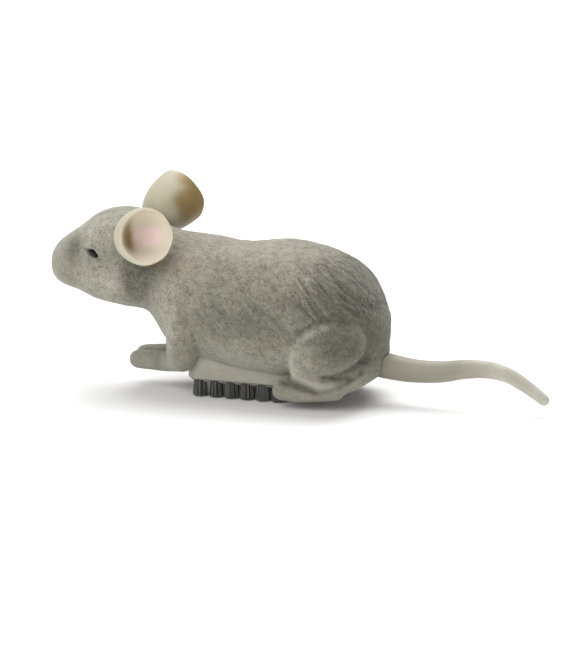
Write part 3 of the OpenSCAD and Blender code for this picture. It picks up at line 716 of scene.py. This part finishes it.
def sculpt_coat(obj):
    """Moulds the relief of the coat, then stores the masks that its colours follow, painted highlight and
    painted shade among them.
    """
    p, nrm = positions(obj), normals(obj)
    q = folded(p)

    # limbs stand out more sharply from the body than a plain blend leaves them
    relief = ((p - relaxed(obj, p, 70)) * nrm).sum(axis=1)
    leg = ramp(p[:, 0], -7, -1) * ramp(q[:, 1], 6, 9) * ramp(p[:, 2], 5.5, 9)
    leg *= 1 - ramp(p[:, 2], 26, 31)
    shoulder = blob(q, (-29, 13, 16), (7, 8, 9))
    push = np.clip(relief - 0.30, -0.9, 0.55) * (0.75 * leg + 0.45 * shoulder)

    combed, grooves = fur_strokes(p)
    push -= sizes().stroke_depth / MM * 3.2 * combed * grooves

    # uneven flocking over everything but the snout and feet
    furry = 0.35 + 0.65 * ramp(p[:, 2], 8, 13) * ramp(p[:, 0], -61, -55)
    furry *= 1 - 0.75 * blob(q, (-32, 8, 9), (8, 7, 5))
    push += 0.10 * noise_at(p / 2.6, 11.0) * furry + 0.055 * noise_at(p / 0.9, 4.0) * furry

    # the head, the toes, and the folds between shank and foot and under the haunch
    outside = ramp(q[:, 1], 8, 11)
    fold = outside * (band(near_line(q, *SHANK_FOLD), 0.75) + 0.8 * band(near_line(q, *HAUNCH_FOLD), 0.8))
    push += patches(q, HEAD_RELIEF) - patches(q, TOE_GAPS) - 0.75 * fold
    p = p + nrm * push[:, None]

    # the eyelids: a slanting almond sunk round each bead
    q = folded(p)
    almond, near = eye_almond(q)
    sunk = near * (0.70 * np.exp(-almond ** 3) - 0.20 * band(almond - 1.8, 0.55))
    p = p - nrm * sunk[:, None]
    put_positions(obj, p)

    x, z = p[:, 0], p[:, 2]
    edge, heading = haunch_oval(q)
    front = ramp(np.cos(heading - math.radians(140)), -0.25, 0.55) * outside
    behind = ramp(np.cos(heading - math.radians(45)), 0.0, 0.7) * outside
    below = ramp(np.cos(heading + math.radians(75)), 0.2, 0.8) * outside
    crease, ridge = ramp(-relief, -0.10, 0.55), ramp(relief, 0.42, 0.95)

    # painted highlight on the ridges of the limbs, on the rim of the haunch that faces the light and along
    # the shin; lighter shoulder band, face patches and forepaws
    pale = 0.75 * ramp(blob(q, (-30.2, 14, 22), (3.2, 8, 12)), 0.25, 0.75)
    pale += patches(q, PALE_PATCHES) + ridge * (0.9 * leg + 0.3 * shoulder)
    pale += front * band(edge - 0.88, 0.13) + 0.55 * outside * band(near_line(q, *SHIN), 1.1)
    pale += 0.55 * ramp(-x, 34, 38) * (1 - ramp(z, 9, 12))

    # painted shade: round the sunk eye, in creases, under the ear, on the rump, under the chest and belly,
    # outside the haunch and in the folds
    dark = 0.85 * near * band(almond - 0.9, 0.40) + 0.60 * crease * (0.35 + 0.65 * leg) * ramp(x, -34, -28)
    dark += 1.05 * ramp(blob(q, (-39.2, 11.5, 28.2), (5.2, 8, 9.0)), 0.10, 0.95) + patches(q, SHADE_PATCHES)
    dark += ramp(x, 4, 17) * ramp(z, 6, 18) + 0.12 * leg * blob(q, (13, 17, 18), (7, 9, 5))
    dark += 0.26 * ramp(-x, 60, 66) + 0.4 * ramp(-x, 29, 33) * (z < 11)
    dark += 0.12 * (1 - ramp(z, 5, 8)) * ramp(q[:, 1], 11, 13)
    dark += 0.30 * (1 - ramp(z, 8, 14)) * ramp(x, -22, -16) * (1 - ramp(q[:, 1], 11.5, 13.0))
    dark += 0.65 * behind * band(edge - 1.12, 0.10) + 0.70 * below * band(edge - 1.06, 0.09) + 0.95 * fold
    dark *= 1 - 0.8 * front * band(edge - 0.90, 0.13)

    masks = {"furry": furry, "combed": combed, "groove": combed * ramp(grooves, 0.10, 0.50), "pale": pale,
             "warmed": ramp(z, 27, 34) * ramp(x, -34, -24) * (1 - ramp(x, 8, 17)), "painted_shade": dark}
    for name, values in masks.items():
        paint(obj, name, np.clip(values, 0, 1))


class MOUSE_OT_coat(bpy.types.Operator):
    """Rebuilds the hollow shell on a fine grid, softens it and moulds the flocked relief"""
    bl_idname = "mouse.coat"
    bl_label = "Flocked coat"

    def execute(self, context):
        obj = copy_of_node("body_shell", "flocked_coat")
        add_modifier(obj, "REMESH", mode="VOXEL", voxel_size=sizes().coat_voxel, adaptivity=0.0)
        add_modifier(obj, "SMOOTH", factor=0.5, iterations=9)
        in_edit(obj, "FACE")
        bpy.ops.mesh.select_all(action="DESELECT")
        out_of_edit()
        for face in obj.data.polygons:
            c = face.center / MM
            d = Vector((c.x, abs(c.y), c.z)) - Vector(EYE_PLACE)
            face.select = d.length < 3.6
        in_edit(obj, "FACE")
        bpy.ops.mesh.subdivide(number_cuts=1, smoothness=0.0)
        out_of_edit()
        sculpt_coat(obj)
        smooth_shading(obj)
        finish_piece(obj, coat_material(), ["body_shell"])
        return {"FINISHED"}


# ---- ears ----
def ear_rings():
    """Radius and height of each ring, from the plug up the outside, over the lip and down the inside."""
    rim, depth, wall = (v / MM for v in (sizes().ear_radius, sizes().ear_depth, sizes().ear_wall))

    def outside(t):
        return 3.0 + (rim - 3.0) * math.sin(math.radians(90 * min(1, 1.08 * t))) ** 0.55

    rings = [(1.9, -3.9), (2.35, -3.3), (2.45, -2.9), (2.3, -2.62), (1.9, -2.6), (1.9, -0.3), (2.2, -0.1)]
    rings += [(outside(t / 12), depth * t / 12) for t in range(12)]
    rings += [(rim - wall / 2 * (1 - math.cos(a)), depth - wall / 2 * (1 - math.sin(a)))
              for a in (0.3, 0.8, 1.25, 1.7, 2.2, 2.8)]
    floor = 4.2
    rings += [((rim - wall) * t / 14, floor + (depth - 0.5 - floor) * (t / 14) ** 1.8)
              for t in range(13, 0, -1)]
    return rings


def make_ear(side):
    """An ear turned up ring by ring, then pulled a little out of round like soft rubber."""
    name = "ear_rubber_" + side
    rings = ear_rings()
    drop_selection()
    bpy.ops.mesh.primitive_circle_add(vertices=72, radius=rings[0][0] * MM, fill_type="NGON",
                                      location=(0, 0, 0))
    obj = bpy.context.object
    obj.name = obj.data.name = name
    in_edit(obj)
    bpy.ops.mesh.select_all(action="SELECT")
    bpy.ops.transform.translate(value=(0, 0, rings[0][1] * MM))
    for (r0, z0), (r1, z1) in zip(rings, rings[1:]):
        bpy.ops.mesh.extrude_region_move(TRANSFORM_OT_translate={"value": (0, 0, (z1 - z0) * MM)})
        bpy.ops.transform.resize(value=(r1 / r0, r1 / r0, 1.0), center_override=(0, 0, z1 * MM))
    out_of_edit()

    depth = sizes().ear_depth / MM
    p = positions(obj)
    turn = np.arctan2(p[:, 1], p[:, 0])
    height = np.clip(p[:, 2] / depth, 0, 1.05)
    outer = np.zeros(len(p))
    outer[:72 * (7 + 12 + 2)] = 1.0
    inner = 1 - outer
    # y runs to the nose and x runs down; the pink lies on the tail side of the cup, and the painted shade,
    # golden brown, in its depth
    blush = inner * np.exp(-((p[:, 0] - 0.4) / 2.7) ** 2 - ((p[:, 1] + 2.4) / 3.1) ** 2)
    shade = 0.75 * inner * np.exp(-((p[:, 0] - 0.9) / 3.2) ** 2 - ((p[:, 1] - 3.1) / 1.9) ** 2)
    shade += 0.60 * inner * np.exp(-((p[:, 0] + 1.8) / 4.2) ** 2 - ((p[:, 1] - 3.8) / 2.6) ** 2)
    # painted shade on the outside of the ear: its low side and its far end, turned away from the light
    low_side = outer * ramp(height, 0.1, 0.6) * ramp(np.cos(turn + math.radians(62)), -0.05, 0.70)
    far_end = outer * ramp(height, 0.60, 0.93) * ramp(np.cos(turn + math.radians(108)), 0.15, 0.85)
    shade = np.clip(shade + np.maximum(low_side, 0.85 * far_end), 0, 1)
    rim = ramp(height, 0.86, 0.96) * (0.4 + 0.6 * inner)
    # out of round: a dip in the rim and a gentle wave
    swell = height ** 2
    p[:, 2] += swell * (0.30 * np.cos(2 * turn + 0.5) + 0.20 * np.sin(3 * turn + 1.1)) - 0.35 * swell
    if side == "right":
        p[:, 2] += 1.5 * swell * ramp(np.cos(turn + math.radians(125)), -0.1, 1.0)
    radial = 1 - 0.012 * swell + swell * (0.012 * np.sin(4 * turn + 0.8) + 0.010 * np.sin(7 * turn))
    p[:, 0] *= radial
    p[:, 1] *= radial
    put_positions(obj, p)
    paint(obj, "blush", blush)
    paint(obj, "shade", shade)
    paint(obj, "rim", rim)
    # marks the inside of the cup for its painted light
    paint(obj, "lit_lining", inner)

    azimuth, rise = (math.radians(a) for a in EAR_TURNS[side])
    place = Matrix.Translation(Vector(EAR_FOOT) * MM) @ Matrix.Rotation(azimuth, 4, "Z")
    place = place @ Matrix.Rotation(math.pi / 2 - rise, 4, "Y")
    if side == "left":
        place = Matrix.Scale(-1, 4, (0, 1, 0)) @ place
    obj.data.transform(place)
    face_out(obj)
    add_modifier(obj, "SUBSURF", levels=1, render_levels=1)
    smooth_shading(obj)
    return obj


class MOUSE_OT_ears(bpy.types.Operator):
    """Turns up both soft rubber ears"""
    bl_idname = "mouse.ears"
    bl_label = "Ears"

    def execute(self, context):
        material = ear_material()
        for side in ("left", "right"):
            finish_piece(make_ear(side), material, ["ear_" + side])
        return {"FINISHED"}


# ---- eyes ----
class MOUSE_OT_eyes(bpy.types.Operator):
    """Two slanting almond beads"""
    bl_idname = "mouse.eyes"
    bl_label = "Eyes"

    def execute(self, context):
        material = eye_material()
        for side, sign in (("left", -1), ("right", 1)):
            drop_selection()
            bpy.ops.mesh.primitive_uv_sphere_add(segments=40, ring_count=24, radius=1.0 * MM)
            obj = bpy.context.object
            obj.name = obj.data.name = "eye_bead_" + side
            p = positions(obj)
            p[:, 0] *= 1.55
            p[:, 1] *= 0.80
            p[:, 2] *= 0.52 * (1 - 0.5 * (p[:, 0] / 1.55) ** 2)
            put_positions(obj, p)
            tilt = Matrix.Rotation(math.radians(EYE_SLANT), 4, "Y") @ Matrix.Rotation(math.radians(6), 4, "Z")
            place = Matrix.Translation((Vector(EYE_PLACE) - Vector((0, 0.05, 0))) * MM) @ tilt
            if sign < 0:
                place = Matrix.Scale(-1, 4, (0, 1, 0)) @ place
            obj.data.transform(place)
            face_out(obj)
            smooth_shading(obj)
            finish_piece(obj, material, ["eye_" + side])
        return {"FINISHED"}


# ---- tail ----
def smooth_line(points, steps):
    """Points on one smooth curve through the given ones."""
    line = []
    for i in range(len(points) - 1):
        a, b, c, d = (np.array(points[max(0, min(len(points) - 1, j))]) for j in (i - 1, i, i + 1, i + 2))
        for k in range(steps):
            t = k / steps
            line.append(0.5 * (2 * b + (c - a) * t + (2 * a - 5 * b + 4 * c - d) * t * t
                               + (3 * b - a - 3 * c + d) * t ** 3))
    line.append(np.array(points[-1]))
    return line


class MOUSE_OT_tail(bpy.types.Operator):
    """A tapered rubber tail with a blunt tip, drawn along its own line"""
    bl_idname = "mouse.tail"
    bl_label = "Tail"

    def execute(self, context):
        line = [np.array(p) for p in TAIL_PLUG] + smooth_line(TAIL_LINE, 9) + [np.array(p) for p in TAIL_TIP]
        data = bpy.data.curves.new("tail_line", "CURVE")
        data.dimensions = "3D"
        spline = data.splines.new("POLY")
        spline.points.add(len(line) - 1)
        for point, (x, z, r) in zip(spline.points, line):
            point.co = (x * MM, 0.0, z * MM, 1.0)
            point.radius = r
        data.bevel_depth = MM
        data.bevel_resolution = 8
        data.use_fill_caps = True
        obj = bpy.data.objects.new("tail_rubber", data)
        bpy.context.scene.collection.objects.link(obj)
        pick(obj)
        bpy.ops.object.convert(target="MESH")
        obj = bpy.context.object
        in_edit(obj)
        bpy.ops.mesh.select_all(action="SELECT")
        bpy.ops.mesh.remove_doubles(threshold=1e-6)
        bpy.ops.mesh.normals_make_consistent(inside=False)
        out_of_edit()
        p, nrm = positions(obj), normals(obj)
        bare = ramp(p[:, 0], 20, 24)
        p += nrm * (bare * 0.05 * noise_at(p / 3.0, 5.0))[:, None]
        p += nrm * (bare * 0.07 * ramp(np.abs(nrm[:, 1]), 0.975, 0.999))[:, None]
        put_positions(obj, p)
        paint(obj, "along", ramp(p[:, 0], 20, 66))
        smooth_shading(obj, 50)
        finish_piece(obj, tail_material(), ["tail"])
        return {"FINISHED"}


# ---- brush ----
class MOUSE_OT_block(bpy.types.Operator):
    """The brush block, with its moulded edges rounded"""
    bl_idname = "mouse.block"
    bl_label = "Brush block"

    def execute(self, context):
        obj = softened_copy("base_block", "brush_block", radius=0.2, angle=30)
        finish_piece(obj, plastic_material("Block plastic", colours().block, roughness=0.48, bump_depth=0.04),
                     ["base_block"])
        return {"FINISHED"}


def filament():
    """One bristle: a thin tapered rod of a few rings, standing on the origin, one unit high."""
    drop_selection()
    bpy.ops.mesh.primitive_cylinder_add(vertices=5, radius=1.0, depth=1.0, end_fill_type="NGON",
                                        location=(0, 0, 0.5))
    obj = bpy.context.object
    in_edit(obj, "EDGE")
    bpy.ops.mesh.select_all(action="DESELECT")
    out_of_edit()
    for edge in obj.data.edges:
        a, b = (obj.data.vertices[i].co for i in edge.vertices)
        edge.select = abs(a.z - b.z) > 0.5
    in_edit(obj, "EDGE")
    bpy.ops.mesh.subdivide_edgering(number_cuts=2, interpolation="LINEAR")
    out_of_edit()
    settle(obj)
    co = positions(obj) * MM
    faces = [list(f.vertices) for f in obj.data.polygons]
    bpy.data.objects.remove(obj)
    return co, faces


def tuft_mesh(rng, co, faces, centre, top, lowest, root, tip):
    """Bristles packed in a round hole and splayed towards their tips."""
    s = sizes()
    points, polygons, tones = [], [], []
    count = s.filaments
    for k in range(count):
        reach = math.sqrt((k + 0.5) / count)
        turn = k * 2.399963 + rng.uniform(-0.25, 0.25)
        out = np.array([math.cos(turn), math.sin(turn), 0.0])
        start = centre + out * reach * root + np.array([0, 0, top])
        splay = reach ** 1.4 * tip + rng.uniform(-0.10, 0.10)
        drift = np.array([rng.uniform(-0.14, 0.14), rng.uniform(-0.14, 0.14), 0.0])
        floor = lowest + max(0.0, rng.gauss(0.04, 0.10)) + (0.12 * reach ** 4)
        end = centre + out * splay + drift
        end[2] = floor
        thick = s.filament_radius / MM * rng.uniform(0.85, 1.1)
        bow = (out * rng.uniform(-0.06, 0.10)
               + np.array([rng.uniform(-0.05, 0.05), rng.uniform(-0.05, 0.05), 0]))
        first = sum(len(b) for b in points)
        t = co[:, 2:3]
        ring = co * np.array([1, 1, 0]) * thick * (1 - 0.15 * t)
        points.append(start + (end - start) * t + bow * np.sin(math.pi * t) + ring)
        polygons += [[first + i for i in reversed(f)] for f in faces]
        tones += [rng.random() ** 2] * len(co)
    return points, polygons, tones


class MOUSE_OT_bristles(bpy.types.Operator):
    """Two rows of splayed bristle tufts"""
    bl_idname = "mouse.bristles"
    bl_label = "Bristles"

    def execute(self, context):
        co, faces = filament()
        material = bristle_material()
        for side in ("left", "right"):
            node = "tuft_row_" + side
            low, high = (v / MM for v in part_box(node))
            radius = (high.y - low.y) / 2
            rows = 6
            pitch = (high.x - low.x - 2 * radius) / (rows - 1)
            rng = random.Random(11 if side == "left" else 23)
            points, polygons, tones = [], [], []
            for i in range(rows):
                centre = np.array([low.x + radius + i * pitch, (low.y + high.y) / 2, 0.0])
                made = tuft_mesh(rng, co, faces, centre, high.z, low.z, radius * 0.62, radius * 0.95)
                first = sum(len(b) for b in points)
                points += made[0]
                polygons += [[first + j for j in f] for f in made[1]]
                tones += made[2]
            mesh = bpy.data.meshes.new("bristles_" + side)
            mesh.from_pydata([tuple(v * MM) for v in np.concatenate(points)], [], polygons)
            obj = bpy.data.objects.new("bristles_" + side, mesh)
            bpy.context.scene.collection.objects.link(obj)
            paint(obj, "tone", tones)
            face_out(obj)
            smooth_shading(obj, 60)
            finish_piece(obj, material, [node])
        return {"FINISHED"}


# ---- knob and motor ----
class MOUSE_OT_knob(bpy.types.Operator):
    """The grooved winding knob with rounded edges"""
    bl_idname = "mouse.knob"
    bl_label = "Winding knob"

    def execute(self, context):
        obj = softened_copy("winding_knob", "winding_knob_moulded", radius=0.12, angle=40)
        material = plastic_material("Knob plastic", (0.50, 0.47, 0.39, 1.0), roughness=0.3, grain_size=0.3,
                                    bump_depth=0.02)
        finish_piece(obj, material, ["winding_knob"], body="winding")
        return {"FINISHED"}


class MOUSE_OT_motor(bpy.types.Operator):
    """Finishes for the motor's plates, wheels, arbors, springs and screws"""
    bl_idname = "mouse.motor"
    bl_label = "Motor finishes"

    def execute(self, context):
        steel = metal_material("Rolled steel plate", (0.50, 0.50, 0.49, 1.0), 0.34, stretch=(0.05, 1.0, 1.0))
        ground = metal_material("Ground steel arbor", (0.56, 0.55, 0.53, 1.0), 0.22, stretch=(1.0, 0.08, 1.0))
        plated = metal_material("Plated screw steel", (0.60, 0.60, 0.58, 1.0), 0.28, stretch=(1.0, 0.3, 1.0))
        brass = metal_material("Turned brass", (0.60, 0.42, 0.15, 1.0), 0.26, stretch=(1.0, 0.15, 1.0))
        blued = metal_material("Blued spring steel", (0.12, 0.17, 0.28, 1.0), 0.30, stretch=(1.0, 0.12, 1.0))
        nylon = plastic_material("Gear nylon", (0.78, 0.75, 0.66, 1.0), roughness=0.42, grain_size=0.3)
        finishes = {
            steel: ("motor_plate_left", "motor_plate_right"),
            ground: ("winding_arbor", "second_arbor", "third_arbor", "shaker_arbor", "shaker_weight",
                     "click"),
            plated: ("pillar_nuts", "motor_screws", "click_screw"),
            brass: ("motor_pillars", "spring_post", "ratchet_wheel", "tuft_anchors"),
            blued: ("mainspring", "click_spring"),
            nylon: ("great_wheel", "second_pinion", "second_wheel", "third_pinion", "third_wheel",
                    "shaker_pinion"),
        }
        for material, names in finishes.items():
            for name in names:
                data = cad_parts[name].data
                if not data.materials:
                    data.materials.append(material)
                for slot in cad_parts[name].material_slots:
                    slot.material = material
        return {"FINISHED"}


# ---- stage ----
def area_light(name, place, size, power, aim=(0.0, 0.0, 0.02), tint=(1.0, 1.0, 1.0)):
    data = bpy.data.lights.new(name, "AREA")
    data.shape, data.size, data.energy, data.color = "DISK", size, power, tint
    obj = bpy.data.objects.new(name, data)
    bpy.context.scene.collection.objects.link(obj)
    obj.location = place
    obj.rotation_euler = (Vector(aim) - Vector(place)).to_track_quat("-Z", "Y").to_euler()


class MOUSE_OT_stage(bpy.types.Operator):
    """A pale floor, soft studio light and the camera"""
    bl_idname = "mouse.stage"
    bl_label = "Stage"

    def execute(self, context):
        scene = bpy.context.scene
        drop_selection()
        bpy.ops.mesh.primitive_plane_add(size=6.0, location=(0, 0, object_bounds()[0].z - 0.00005))
        floor = bpy.context.object
        floor.name = "floor"
        settle(floor)
        material, n, shader = new_material("Pale floor", roughness=0.9)
        faint = n.cloud(n.millimetres(), 0.02, 2.0)
        n.wire(n.mix(n.maths("MULTIPLY", faint, 0.03), tuple(colours().floor), (0.86, 0.86, 0.86, 1.0)),
               shader.inputs["Base Color"])
        shader.inputs["Specular IOR Level"].default_value = 0.1
        floor.data.materials.append(material)
        floor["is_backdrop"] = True

        world = bpy.data.worlds.new("Studio")
        scene.world = world
        world.use_nodes = True
        world.node_tree.nodes["Background"].inputs["Color"].default_value = (1.0, 1.0, 1.0, 1.0)
        world.node_tree.nodes["Background"].inputs["Strength"].default_value = 0.42
        area_light("Key", (-0.60, -1.35, 1.05), 1.4, 16.0)
        area_light("Back", (-0.05, 0.70, 1.40), 1.8, 33.0)

        azimuth, elevation, distance = math.radians(17.5), math.radians(15.5), 2.4
        back = Vector((math.sin(azimuth) * math.cos(elevation), -math.cos(azimuth) * math.cos(elevation),
                       math.sin(elevation)))
        data = bpy.data.cameras.new("Camera")
        data.sensor_width = 36.0
        data.lens = 4000.0 * distance * 36.0 / 662.0
        data.clip_start, data.clip_end = 0.01, 20.0
        camera = bpy.data.objects.new("Camera", data)
        scene.collection.objects.link(camera)
        aim = Vector((-0.00238, 0.0, 0.0164))
        camera.location = aim + back * distance
        camera.rotation_euler = (-back).to_track_quat("-Z", "Y").to_euler()
        scene.camera = camera
        scene.view_settings.view_transform = "Standard"
        scene.view_settings.look = "None"
        return {"FINISHED"}


OPERATORS = (MOUSE_OT_coat, MOUSE_OT_ears, MOUSE_OT_eyes, MOUSE_OT_tail, MOUSE_OT_block, MOUSE_OT_bristles,
             MOUSE_OT_knob, MOUSE_OT_motor, MOUSE_OT_stage)


class MOUSE_PT_panel(bpy.types.Panel):
    """Lists the mouse's sizes, colours and pieces"""
    bl_idname = "MOUSE_PT_panel"
    bl_label = "Clockwork Mouse"
    bl_space_type = "VIEW_3D"
    bl_region_type = "UI"
    bl_category = "Mouse"

    def draw(self, context):
        for owner in (context.scene.mouse_sizes, context.scene.mouse_colours):
            box = self.layout.box()
            for name in owner.__annotations__:
                box.prop(owner, name)
        for operator in OPERATORS:
            self.layout.operator(operator.bl_idname)


CLASSES = (MouseSizes, MouseColours, *OPERATORS, MOUSE_PT_panel)


def register():
    for item in CLASSES:
        bpy.utils.register_class(item)
    bpy.types.Scene.mouse_sizes = bpy.props.PointerProperty(type=MouseSizes)
    bpy.types.Scene.mouse_colours = bpy.props.PointerProperty(type=MouseColours)


def unregister():
    del bpy.types.Scene.mouse_colours
    del bpy.types.Scene.mouse_sizes
    for item in reversed(CLASSES):
        bpy.utils.unregister_class(item)


def main():
    register()
    bpy.ops.mouse.coat()
    bpy.ops.mouse.ears()
    bpy.ops.mouse.eyes()
    bpy.ops.mouse.tail()
    bpy.ops.mouse.block()
    bpy.ops.mouse.bristles()
    bpy.ops.mouse.knob()
    bpy.ops.mouse.motor()
    bpy.ops.mouse.stage()


if __name__ == "__main__":
    main()
